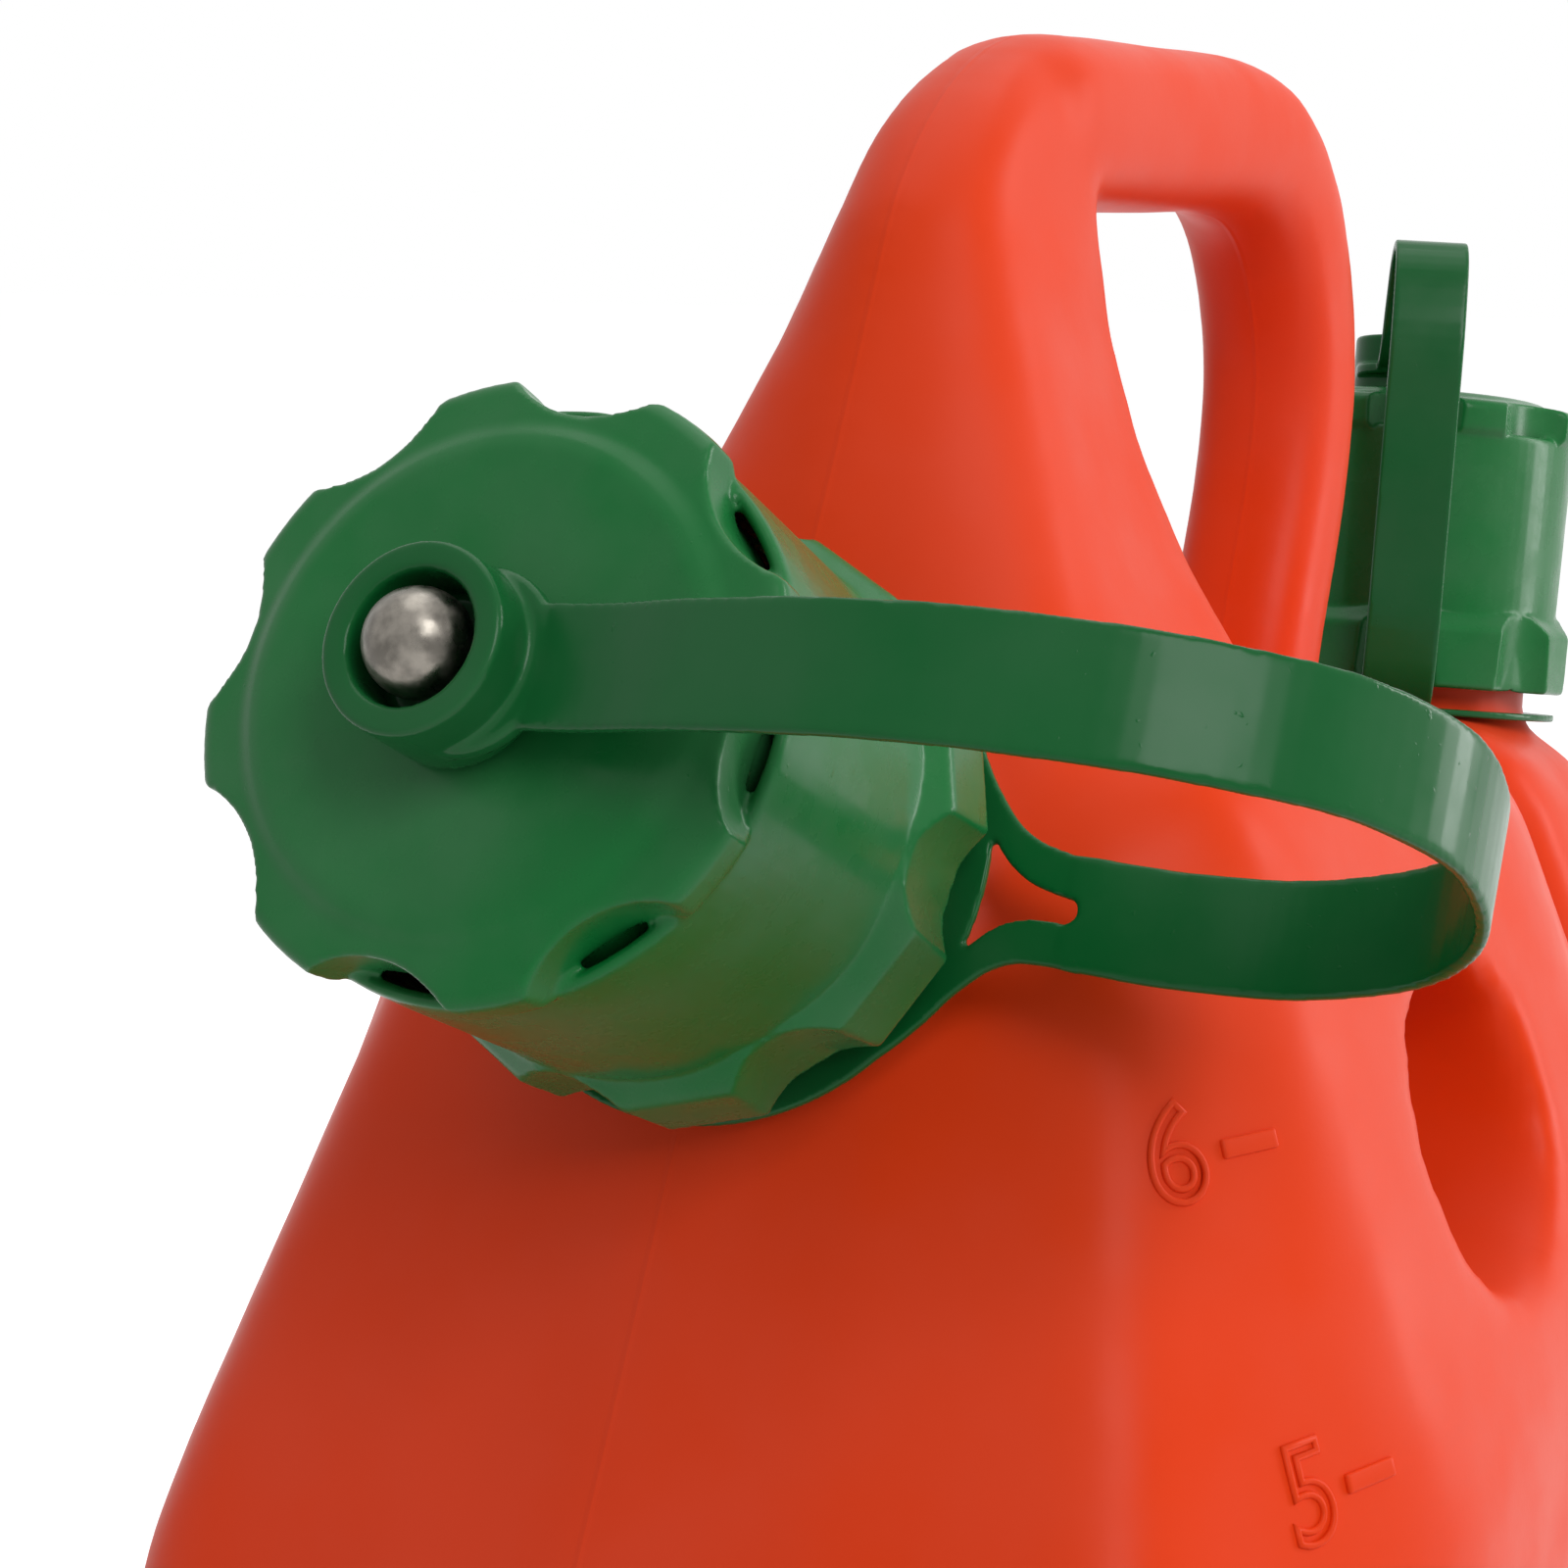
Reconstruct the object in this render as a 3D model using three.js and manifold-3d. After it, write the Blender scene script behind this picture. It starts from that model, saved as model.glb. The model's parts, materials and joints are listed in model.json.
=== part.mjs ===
// Dual fuel and oil can: a blown two-chamber can with a pouring handle, two
// screw caps on their necks, and a moulded keeper strap for each cap.
// Millimetres, +Z up. The origin is the middle of the face the can stands on,
// +X points from the fuel end to the oil end, and the can is the same on both
// sides of the plane Y = 0.

import * as THREE from 'three';
import { mergeVertices } from 'three/addons/utils/BufferGeometryUtils.js';
import Module from 'manifold-3d';

const wasm = await Module();
wasm.setup();

// Can body, driving dimensions
const bodyLength = 356;
const bodyWidth = 168;
const wall = 3;
const wallTop = 97;
const sideTop = 112;
const wallBlend = 12;
const baseRadius = 9;
const shoulderRadius = 14;
const clearance = 0.3;

// Front face and front corners
const fuelNeckLean = 27.5;
const frontWidth = 132;
const frontCrown = 11;
const lowerRidgeLean = 0.26;
const upperRidgeLean = 0.43;
const ridgeBreakHeight = 190;
const sideLean = 0.36;
const sideStart = 70;
const sideEnd = 170;

// Partition between the two chambers
const fuelLength = 250;
const partitionGap = 13;
const webThickness = 5;
const webDrop = 9;
const flankInset = 4;
const flankLean = 0.42;
const flankStart = 68;
const flankBlend = 30;
const oilRearInset = 8;
const oilRearLean = 0.2;

// Roof, falling towards the oil end
const roofLean = 9;
const oilNeckPlace = 303;
const oilRoofHeight = 166.4;

// Handle
const handleTop = 284;
const handleThickness = 25;
const handleDepth = 24;
const handleCorner = 11;
const handleFrontRadius = 56;
const frontLegRear = 129;
const frontLegTaper = 0.0062;
const rearLegPlace = 238;
const rearLegHeight = 233;
const rearLegFoot = 20;

// Oval hole right through the fuel chamber
const holeLength = 47.4;
const holeHeight = 41;
const holePlace = 118;
const holeCentreHeight = 146.5;

// Necks
const neckHeight = 51.4;
const neckRadius = 26.7;
const neckRoot = 9;
const boreRadius = 24;
const fuelNeckHeight = 188.3;

// Caps
const capHeight = 54.5;
const gasketThickness = 2;
const lobeCount = 8;
const lobeHalfAngle = 8.6;
const discRadius = 33.1;
const discValley = 29.4;
const discDrop = 3;
const discThickness = 6;
const dishRadius = 27.5;
const dishDepth = 1.2;
const barrelRadius = 32.2;
const barrelWaist = 30.8;
const barrelWall = 1.8;
const gripRadius = 33.8;
const gripValley = 31;
const gripHeight = 12.5;
const cupRadius = 20.6;
const cupWall = 1.6;
const cupDepth = 42;
const fuelLobeStart = 106.3;
const oilLobeStart = 22.5;

// Straps and their rivets
const strapWidth = 12.8;
const strapThickness = 1.5;
const collarRadius = 32.5;
const collarFit = 0.5;
const slotEnd = 49;
const slotWidth = 3.4;
const padRadius = 12.4;
const tubeRadius = 9.9;
const tubeBore = 6.9;
const tubeRim = 11;
const ballRadius = 5.5;
const shankRadius = 2.4;
const rivetTail = 4.4;
const tailThickness = 1.8;
const oilStrapTurn = 20;

// Values worked out from the driving dimensions
const frontX = -bodyLength / 2;
const rearX = bodyLength / 2;
const fuelRearX = frontX + fuelLength;
const oilFrontX = fuelRearX + partitionGap;
const leanAngle = THREE.MathUtils.degToRad(fuelNeckLean);
const roofSlope = Math.tan(THREE.MathUtils.degToRad(roofLean));
const oilNeckX = frontX + oilNeckPlace;
const rimDrop = discThickness + clearance + gasketThickness + clearance;
const capStand = neckHeight + rimDrop;

function ramp(value, blend) {
  if (value <= -blend) return 0;
  if (value >= blend) return value;
  return (value + blend) ** 2 / (4 * blend);
}

function facePlaneX(z) {
  return frontX + ramp(z - wallTop, wallBlend) * Math.tan(leanAngle);
}

function ridgeHalf(z) {
  const lower = lowerRidgeLean * ramp(z - wallTop, wallBlend);
  const upper = (upperRidgeLean - lowerRidgeLean) * ramp(z - ridgeBreakHeight, wallBlend);
  return frontWidth / 2 - lower - upper;
}

function sideHalf(z) {
  return bodyWidth / 2 - sideLean * ramp(z - sideTop, wallBlend);
}

function flankHalf(z) {
  return bodyWidth / 2 - flankInset - flankLean * ramp(z - flankStart, flankBlend);
}

function roofHeight(x) {
  return oilRoofHeight + (oilNeckX - x) * roofSlope;
}

function levelHeight(level, x) {
  const share = THREE.MathUtils.smoothstep(level, wallTop, oilRoofHeight - shoulderRadius);
  return level + share * (oilNeckX - x) * roofSlope;
}

// Meshes, lofts and booleans
function toSolid(geometry) {
  const bare = geometry.clone();
  bare.deleteAttribute('normal');
  bare.deleteAttribute('uv');
  const merged = mergeVertices(bare, 1e-4);
  const vertProperties = new Float32Array(merged.attributes.position.array);
  const triVerts = new Uint32Array(merged.index.array);
  return new wasm.Manifold(new wasm.Mesh({ numProp: 3, vertProperties, triVerts }));
}

function toGeometry(solid) {
  const result = solid.getMesh();
  const geometry = new THREE.BufferGeometry();
  geometry.setAttribute('position', new THREE.BufferAttribute(result.vertProperties, 3));
  geometry.setIndex(new THREE.BufferAttribute(result.triVerts, 1));
  const shaded = geometry.toNonIndexed();
  shaded.computeVertexNormals();
  return shaded;
}

function loft(sections) {
  const count = sections[0].length;
  const positions = sections.flat().flatMap((point) => [point.x, point.y, point.z]);
  const index = [];
  for (let row = 0; row < sections.length - 1; row += 1) {
    for (let i = 0; i < count; i += 1) {
      const a = row * count + i;
      const b = row * count + ((i + 1) % count);
      index.push(a, b, b + count, a, b + count, a + count);
    }
  }
  const last = (sections.length - 1) * count;
  for (let i = 1; i < count - 1; i += 1) {
    index.push(0, i + 1, i);
    index.push(last, last + i, last + i + 1);
  }
  const geometry = new THREE.BufferGeometry();
  geometry.setAttribute('position', new THREE.Float32BufferAttribute(positions, 3));
  geometry.setIndex(index);
  return geometry;
}

function mirrored(corners) {
  const other = corners.filter((corner) => corner.y > 0).reverse();
  return [...corners, ...other.map((corner) => ({ ...corner, y: -corner.y }))].reverse();
}

function insetCorners(corners, inset) {
  const count = corners.length;
  const edges = corners.map((corner, i) => {
    const next = corners[(i + 1) % count];
    const length = Math.hypot(next.x - corner.x, next.y - corner.y);
    const dx = (next.x - corner.x) / length;
    const dy = (next.y - corner.y) / length;
    return { dx, dy, x: corner.x - dy * inset, y: corner.y + dx * inset };
  });
  return corners.map((corner, i) => {
    const a = edges[(i + count - 1) % count];
    const b = edges[i];
    const cross = a.dx * b.dy - a.dy * b.dx;
    const along = ((b.x - a.x) * b.dy - (b.y - a.y) * b.dx) / cross;
    const radius = Math.max(corner.radius - inset, 2);
    return { ...corner, x: a.x + a.dx * along, y: a.y + a.dy * along, radius };
  });
}

function roundedOutline(corners) {
  const count = corners.length;
  const points = [];
  corners.forEach((corner, i) => {
    const here = new THREE.Vector2(corner.x, corner.y);
    const before = corners[(i + count - 1) % count];
    const after = corners[(i + 1) % count];
    const back = new THREE.Vector2(before.x, before.y).sub(here);
    const ahead = new THREE.Vector2(after.x, after.y).sub(here);
    const turn = Math.PI - Math.abs(back.angleTo(ahead));
    const reach = Math.min(corner.radius * Math.tan(turn / 2), back.length() * 0.45, ahead.length() * 0.45);
    const start = here.clone().add(back.setLength(reach));
    const end = here.clone().add(ahead.setLength(reach));
    const arc = new THREE.QuadraticBezierCurve(start, here, end);
    points.push(...arc.getPoints(corner.steps));
  });
  return points;
}

// Plan of the fuel chamber at one level, before its corners are rounded
function fuelCorners(level) {
  const cornerAt = (place, half, radius, steps) => {
    let z = level;
    for (let i = 0; i < 4; i += 1) z = levelHeight(level, place(z));
    return { x: place(z), y: half(z), z, radius, steps };
  };
  return mirrored([
    cornerAt((z) => facePlaneX(z), () => 0, 150, 2),
    cornerAt((z) => facePlaneX(z) + frontCrown, ridgeHalf, 13, 4),
    cornerAt(() => frontX + sideStart, sideHalf, 45, 2),
    cornerAt(() => frontX + sideEnd, sideHalf, 45, 2),
    cornerAt(() => fuelRearX, flankHalf, 14, 3),
  ]);
}

// Plan of the oil chamber at one level
function oilCorners(level) {
  const rearPlace = (z) => rearX - oilRearLean * ramp(z - flankStart, flankBlend);
  const cornerAt = (place, half, radius, steps) => {
    let z = level;
    for (let i = 0; i < 4; i += 1) z = levelHeight(level, place(z));
    return { x: place(z), y: half(z), z, radius, steps };
  };
  return mirrored([
    cornerAt(() => oilFrontX, flankHalf, 14, 3),
    cornerAt(rearPlace, (z) => flankHalf(z) - oilRearInset, 30, 4),
  ]);
}

// A chamber: a rounded base, walls, leaning sides and a rounded shoulder
function chamber(cornersAt, inset) {
  const base = baseRadius - inset;
  const shoulder = shoulderRadius - inset;
  const top = oilRoofHeight - inset;
  const levels = [];
  for (const angle of [0, 30, 60]) {
    const turn = THREE.MathUtils.degToRad(angle);
    levels.push([inset + base * (1 - Math.cos(turn)), base * (1 - Math.sin(turn))]);
  }
  levels.push([inset + base, 0], [flankStart - flankBlend, 0], [flankStart, 0]);
  for (const step of [-1, -0.3, 0.3]) levels.push([wallTop + step * wallBlend, 0]);
  for (const step of [-0.3, 0.3, 1]) levels.push([sideTop + step * wallBlend, 0]);
  levels.push([top - shoulder - wallBlend * 0.7, 0]);
  for (const angle of [0, 30, 60, 90]) {
    const turn = THREE.MathUtils.degToRad(angle);
    levels.push([top - shoulder * (1 - Math.sin(turn)), shoulder * (1 - Math.cos(turn))]);
  }
  return toSolid(loft(levels.map(([level, round]) => {
    const outline = insetCorners(cornersAt(level), inset + round);
    return levelPoints(outline, level);
  })));
}

function levelPoints(corners, level) {
  return roundedOutline(corners).map((point) => (
    new THREE.Vector3(point.x, point.y, levelHeight(level, point.x))
  ));
}

// The front leg rises from the front face and closes over into the handle
function frontLeg(inset) {
  const arcHeight = handleTop - handleFrontRadius;
  const arcEnd = arcHeight + handleFrontRadius * Math.sin(leanAngle);
  const arcX = facePlaneX(arcEnd) + handleFrontRadius * Math.cos(leanAngle);
  const roundStart = handleTop - handleThickness * 0.9;
  const rearPlace = frontX + frontLegRear;
  const levels = [186, 200, 215, 230, 245, roundStart];
  for (const share of [0.3, 0.55, 0.75, 0.9, 1]) {
    levels.push(roundStart + share * (handleTop - inset - roundStart));
  }
  return toSolid(loft(levels.map((z) => {
    const rise = Math.min(Math.max(z - arcHeight, 0), handleFrontRadius);
    const arc = arcX - Math.sqrt(handleFrontRadius ** 2 - rise ** 2);
    const front = z > arcEnd ? arc : facePlaneX(z);
    const above = Math.max(z - roundStart, 0) / (handleTop + 1.5 - inset - roundStart);
    const round = Math.sqrt(1 - above ** 2);
    const taper = frontLegTaper * Math.max(roundStart - z, 0) ** 2;
    const ridge = ridgeHalf(Math.min(z, roundStart)) * round;
    const crown = Math.min(frontCrown, ridge * 0.6);
    const halfAt = (half) => Math.max(half * round - inset, 1.5);
    const outline = roundedOutline(mirrored([
      { x: front + inset * 1.1, y: 0, radius: 60, steps: 2 },
      { x: front + crown + inset, y: halfAt(ridgeHalf(Math.min(z, roundStart))), radius: 16, steps: 4 },
      { x: rearPlace - inset, y: halfAt(handleThickness / 2 + taper), radius: 5, steps: 3 },
    ]));
    return outline.map((point) => new THREE.Vector3(point.x, point.y, z));
  })));
}

// The grip: a rounded bar along the top that bends down into the rear leg
function handleBar(inset) {
  const rearX0 = frontX + rearLegPlace;
  const centre = handleTop - handleDepth / 2;
  const foot = roofHeight(rearX0 - rearLegFoot) - wall * 2;
  const route = new THREE.CatmullRomCurve3([
    new THREE.Vector3(frontX + frontLegRear - 7, 0, centre - 1),
    new THREE.Vector3(frontX + frontLegRear + 8, 0, centre),
    new THREE.Vector3(rearX0 - 70, 0, centre),
    new THREE.Vector3(rearX0 - 42, 0, centre),
    new THREE.Vector3(rearX0 - 25, 0, centre - 2.5),
    new THREE.Vector3(rearX0 - 11, 0, centre - 12),
    new THREE.Vector3(rearX0 - 3, 0, centre - 26),
    new THREE.Vector3(rearX0, 0, rearLegHeight),
    new THREE.Vector3(rearX0 - 4, 0, rearLegHeight - 20),
    new THREE.Vector3(rearX0 - rearLegFoot * 0.6, 0, rearLegHeight - 38),
    new THREE.Vector3(rearX0 - rearLegFoot, 0, foot),
  ], false, 'centripetal');
  const thickness = handleThickness / 2 - inset;
  const depth = handleDepth / 2 - inset;
  const section = new THREE.Shape(roundedOutline([
    { x: thickness, y: -depth, radius: handleCorner - inset / 2, steps: 3 },
    { x: thickness, y: depth, radius: handleCorner - inset / 2, steps: 3 },
    { x: -thickness, y: depth, radius: handleCorner - inset / 2, steps: 3 },
    { x: -thickness, y: -depth, radius: handleCorner - inset / 2, steps: 3 },
  ]));
  return toSolid(new THREE.ExtrudeGeometry(section, { steps: 20, extrudePath: route, bevelEnabled: false }));
}

function ovalBar(grow) {
  const oval = new THREE.Shape();
  oval.absellipse(0, 0, holeLength / 2 + grow, holeHeight / 2 + grow, 0, Math.PI * 2, false, 0);
  const bar = new THREE.ExtrudeGeometry(oval, { depth: bodyWidth * 1.2, bevelEnabled: false, curveSegments: 32 });
  bar.translate(0, 0, -bodyWidth * 0.6);
  bar.rotateX(Math.PI / 2);
  bar.translate(frontX + holePlace, 0, holeCentreHeight);
  return toSolid(bar);
}

// Frames of the two necks: local +Z is the neck's axis, and the origin is the
// middle of the closed cap's top
function neckFrame(basePoint, axis, strapDirection) {
  const zAxis = axis.clone().normalize();
  const xAxis = strapDirection.clone().addScaledVector(zAxis, -strapDirection.dot(zAxis)).normalize();
  const yAxis = new THREE.Vector3().crossVectors(zAxis, xAxis);
  const frame = new THREE.Matrix4().makeBasis(xAxis, yAxis, zAxis);
  frame.setPosition(basePoint.clone().addScaledVector(zAxis, capStand));
  return frame;
}

const fuelNeckBase = new THREE.Vector3(facePlaneX(fuelNeckHeight), 0, fuelNeckHeight);
const fuelAxis = new THREE.Vector3(-Math.cos(leanAngle), 0, Math.sin(leanAngle));
const fuelFrame = neckFrame(fuelNeckBase, fuelAxis, new THREE.Vector3(0, -1, 0));
const oilNeckBase = new THREE.Vector3(oilNeckX, 0, oilRoofHeight);
const oilLean = THREE.MathUtils.degToRad(roofLean);
const oilAxis = new THREE.Vector3(Math.sin(oilLean), 0, Math.cos(oilLean));
const strapTurn = THREE.MathUtils.degToRad(oilStrapTurn);
const oilStrapWay = new THREE.Vector3(-Math.cos(strapTurn), -Math.sin(strapTurn), 0);
const oilFrame = neckFrame(oilNeckBase, oilAxis, oilStrapWay);

function turned(profile, segments = 36) {
  return new THREE.LatheGeometry(profile.map(([r, z]) => new THREE.Vector2(r, z)), segments).rotateX(Math.PI / 2);
}

function neckRound(radius, bottom, top, frame) {
  const cylinder = new THREE.CylinderGeometry(radius, radius, top - bottom, 48);
  cylinder.rotateX(Math.PI / 2).translate(0, 0, (top + bottom) / 2);
  return toSolid(cylinder.applyMatrix4(frame));
}

function tankBody() {
  const rim = -rimDrop;
  const face = -capStand;
  const webTop = roofHeight(fuelRearX + partitionGap / 2) - webDrop;
  const webDepth = partitionGap + wall * 2;
  const webHeight = webTop - baseRadius;
  const web = new THREE.BoxGeometry(webDepth, webThickness, webHeight);
  web.translate(fuelRearX + partitionGap / 2, 0, baseRadius + webHeight / 2);
  const outside = chamber(fuelCorners, 0)
    .add(frontLeg(0))
    .add(handleBar(0))
    .add(chamber(oilCorners, 0))
    .add(toSolid(web))
    .add(neckRound(neckRadius, face - neckRoot, rim, fuelFrame))
    .add(neckRound(neckRadius, face - neckRoot, rim, oilFrame));
  const fuelInside = chamber(fuelCorners, wall)
    .add(frontLeg(wall))
    .add(handleBar(wall))
    .subtract(ovalBar(wall));
  return outside
    .subtract(fuelInside)
    .subtract(chamber(oilCorners, wall))
    .subtract(neckRound(boreRadius, face - neckRoot * 1.5, rim + 1, fuelFrame))
    .subtract(neckRound(boreRadius, face - neckRoot * 1.5, rim + 1, oilFrame))
    .subtract(ovalBar(0));
}

// Outline with rounded lobes and hollow scallops between them
function lobedShape(outer, valley, startDegrees) {
  const points = [];
  const pitch = 360 / lobeCount;
  const scallop = pitch / 2 - lobeHalfAngle;
  for (let lobe = 0; lobe < lobeCount; lobe += 1) {
    const middle = startDegrees + lobe * pitch;
    for (const share of [-1, -0.4, 0.4, 1]) points.push([middle + share * lobeHalfAngle, outer]);
    for (const share of [0.2, 0.5, 1, 1.5, 1.8]) {
      const depth = Math.sin((Math.min(share, 2 - share) * Math.PI) / 2);
      points.push([middle + lobeHalfAngle + share * scallop, outer - (outer - valley) * depth]);
    }
  }
  return new THREE.Shape(points.map(([degrees, radius]) => {
    const angle = THREE.MathUtils.degToRad(degrees);
    return new THREE.Vector2(radius * Math.cos(angle), radius * Math.sin(angle));
  }));
}

function lobedPlate(outer, valley, start, bottom, top, edge) {
  const plate = new THREE.ExtrudeGeometry(lobedShape(outer - edge, valley - edge, start), {
    depth: top - bottom - edge * 2,
    bevelEnabled: true,
    bevelThickness: edge,
    bevelSize: edge,
    bevelSegments: 1,
  });
  return toSolid(plate.translate(0, 0, bottom + edge));
}

// Screw cap: lobed top, barrel, grip ring and an inner measuring cup
function capBody(lobeStart) {
  const gripTop = gripHeight - capHeight;
  const inner = barrelWaist - barrelWall;
  const barrel = turned([
    [0, -capHeight + 1],
    [barrelWaist, -capHeight + 1],
    [barrelWaist, gripTop + 1],
    [barrelRadius, -discThickness * 2],
    [barrelRadius, -discDrop - 0.6],
    [barrelRadius - 0.6, -discDrop],
    [0, -discDrop],
  ]);
  const space = turned([
    [cupRadius, -capHeight - 1],
    [inner, -capHeight - 1],
    [inner, gripTop],
    [barrelRadius - barrelWall, -discThickness * 2],
    [barrelRadius - barrelWall, -discThickness],
    [cupRadius, -discThickness],
    [cupRadius, -capHeight - 1],
  ]);
  const cupBottom = -discThickness - cupDepth;
  const hollow = turned([
    [0, cupBottom - 10],
    [cupRadius + 1, cupBottom - 10],
    [cupRadius + 1, cupBottom],
    [cupRadius - cupWall, cupBottom],
    [cupRadius - cupWall, -discThickness - 2],
    [cupRadius - cupWall - 2, -discThickness],
    [0, -discThickness],
  ]);
  const dish = turned([[0, -dishDepth], [dishRadius * 0.8, -dishDepth], [dishRadius, 0], [dishRadius, 1], [0, 1]]);
  const rivetHole = turned([
    [0, -discThickness - 1],
    [shankRadius + clearance, -discThickness - 1],
    [shankRadius + clearance, 1],
    [0, 1],
  ], 24);
  return toSolid(barrel)
    .add(lobedPlate(discRadius, discValley, lobeStart, -discThickness, 0, 1.2))
    .add(lobedPlate(gripRadius, gripValley, lobeStart, -capHeight, gripTop, 0.9))
    .subtract(toSolid(space))
    .subtract(toSolid(hollow))
    .subtract(toSolid(dish))
    .subtract(toSolid(rivetHole))
    .subtract(valleySlits(lobeStart));
}

// Crescent openings between each scallop of the top and the barrel's rim
function valleySlits(lobeStart) {
  const outer = barrelRadius - barrelWall * 0.8;
  const ring = new THREE.Shape();
  ring.absarc(0, 0, outer, 0, Math.PI * 2, false);
  const depth = discThickness * 1.5;
  const plug = new THREE.ExtrudeGeometry(ring, { depth, bevelEnabled: false, curveSegments: 36 });
  const lobes = new THREE.ExtrudeGeometry(lobedShape(discRadius, discValley, lobeStart), {
    depth: depth + 2,
    bevelEnabled: false,
  });
  return toSolid(plug.translate(0, 0, -depth)).subtract(toSolid(lobes.translate(0, 0, -depth - 1)));
}

function gasketRing() {
  const top = -discThickness - clearance;
  const bottom = top - gasketThickness;
  return toSolid(turned([
    [boreRadius - 0.4, bottom],
    [neckRadius + 0.4, bottom],
    [neckRadius + 0.4, top],
    [boreRadius - 0.4, top],
    [boreRadius - 0.4, bottom],
  ]));
}

// Flat collar round the neck: its opening runs out into a slot along the tail
function slottedCollar(way) {
  const half = strapWidth / 2;
  const inner = neckRadius + collarFit;
  const outline = new THREE.Shape();
  const leave = THREE.MathUtils.degToRad(42);
  outline.absarc(0, 0, collarRadius, leave, Math.PI * 2 - leave, false);
  outline.bezierCurveTo(
    collarRadius * 1.1, -collarRadius * 0.38,
    slotEnd - 13, -half,
    slotEnd - 4, -half,
  );
  outline.lineTo(slotEnd + 3, -half);
  outline.lineTo(slotEnd + 3, half);
  outline.lineTo(slotEnd - 4, half);
  outline.bezierCurveTo(
    slotEnd - 13, half,
    collarRadius * 1.1, collarRadius * 0.38,
    collarRadius * Math.cos(leave), collarRadius * Math.sin(leave),
  );
  const opening = new THREE.Path();
  const part = THREE.MathUtils.degToRad(33);
  const slot = slotWidth / 2;
  opening.absarc(0, 0, inner, part, Math.PI * 2 - part, false);
  opening.bezierCurveTo(
    inner * 1.12, -inner * 0.32,
    slotEnd - 14, -slot * 1.6,
    slotEnd - slot, -slot,
  );
  opening.absarc(slotEnd - slot, 0, slot, -Math.PI / 2, Math.PI / 2, false);
  opening.bezierCurveTo(
    slotEnd - 14, slot * 1.6,
    inner * 1.12, inner * 0.32,
    inner * Math.cos(part), inner * Math.sin(part),
  );
  outline.holes.push(opening);
  return collarSolid(outline, way);
}

function roundCollar() {
  const outline = new THREE.Shape();
  outline.absarc(0, 0, collarRadius, 0, Math.PI * 2, false);
  const opening = new THREE.Path();
  opening.absarc(0, 0, neckRadius + collarFit, 0, Math.PI * 2, false);
  outline.holes.push(opening);
  return collarSolid(outline, 0);
}

function collarSolid(outline, way) {
  const plate = new THREE.ExtrudeGeometry(outline, {
    depth: strapThickness,
    bevelEnabled: false,
    curveSegments: outline.holes[0].curves.length > 1 ? 10 : 24,
  });
  plate.translate(0, 0, -capStand + clearance);
  return toSolid(plate.rotateZ(way));
}

// Band from the collar round its bend to the pad on the cap
function band(points) {
  const route = new THREE.CatmullRomCurve3(points, false, 'centripetal');
  const steps = 34;
  const across = new THREE.Vector3(0, 1, 0);
  const sections = [];
  for (let i = 0; i <= steps; i += 1) {
    const centre = route.getPointAt(i / steps);
    const along = route.getTangentAt(i / steps);
    const up = new THREE.Vector3().crossVectors(along, across).normalize();
    const side = new THREE.Vector3().crossVectors(up, along).normalize();
    const corner = (a, b) => centre.clone()
      .addScaledVector(side, (a * strapWidth) / 2)
      .addScaledVector(up, (b * strapThickness) / 2);
    sections.push([corner(-1, -1), corner(1, -1), corner(1, 1), corner(-1, 1)]);
  }
  return toSolid(loft(sections));
}

// Pad that turns on the rivet, with the tube round the rivet's ball
function padAndTube() {
  const seat = -dishDepth + clearance;
  const floor = ballRadius * 0.62;
  return toSolid(turned([
    [shankRadius + clearance, seat],
    [tubeRadius - 1, seat],
    [tubeRadius - 1, floor],
    [padRadius, floor],
    [padRadius, floor + strapThickness + 0.4],
    [tubeRadius, floor + strapThickness + 0.8],
    [tubeRadius, tubeRim - 0.6],
    [tubeRadius - 0.6, tubeRim],
    [tubeBore + 0.4, tubeRim],
    [tubeBore, tubeRim - 0.4],
    [tubeBore, floor],
    [shankRadius + clearance, floor],
    [shankRadius + clearance, seat],
  ], 28));
}

function strap(points, collar) {
  return collar.add(band(points)).add(padAndTube());
}

// Steel rivet: ball head, shank and the tail that holds it under the cap's top
function ballRivet() {
  const ballCentre = ballRadius * 1.62;
  const tailTop = -discThickness - clearance;
  const profile = [
    [0, tailTop - tailThickness],
    [rivetTail - 0.6, tailTop - tailThickness],
    [rivetTail, tailTop - tailThickness + 0.6],
    [rivetTail, tailTop],
    [shankRadius, tailTop],
  ];
  const neckAngle = Math.asin(shankRadius / ballRadius);
  const steps = 9;
  for (let i = 0; i <= steps; i += 1) {
    const angle = neckAngle + ((Math.PI - neckAngle) * i) / steps;
    profile.push([Math.max(ballRadius * Math.sin(angle), 0), ballCentre - ballRadius * Math.cos(angle)]);
  }
  profile[profile.length - 1][0] = 0;
  return toSolid(turned(profile, 20));
}

// Routes of the two bands: away from the neck, up, and across the neck's axis
const plateMiddle = -capStand + clearance + strapThickness / 2;
const padMiddle = ballRadius * 0.62 + (strapThickness + 0.4) / 2;
const fuelBandRoute = [
  new THREE.Vector3(slotEnd - 3, -3.2, plateMiddle),
  new THREE.Vector3(slotEnd + 8, -3.6, plateMiddle + 0.3),
  new THREE.Vector3(74, -3.1, -55.6),
  new THREE.Vector3(88.4, -0.8, -46),
  new THREE.Vector3(93.2, 2.4, -31),
  new THREE.Vector3(88.9, 3, -12),
  new THREE.Vector3(78, 1.8, 1),
  new THREE.Vector3(62, 0.9, 8.5),
  new THREE.Vector3(48, 0.4, 10.8),
  new THREE.Vector3(30, 0, 9.2),
  new THREE.Vector3(17, 0, 5.6),
  new THREE.Vector3(tubeRadius, 0, padMiddle),
];
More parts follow.
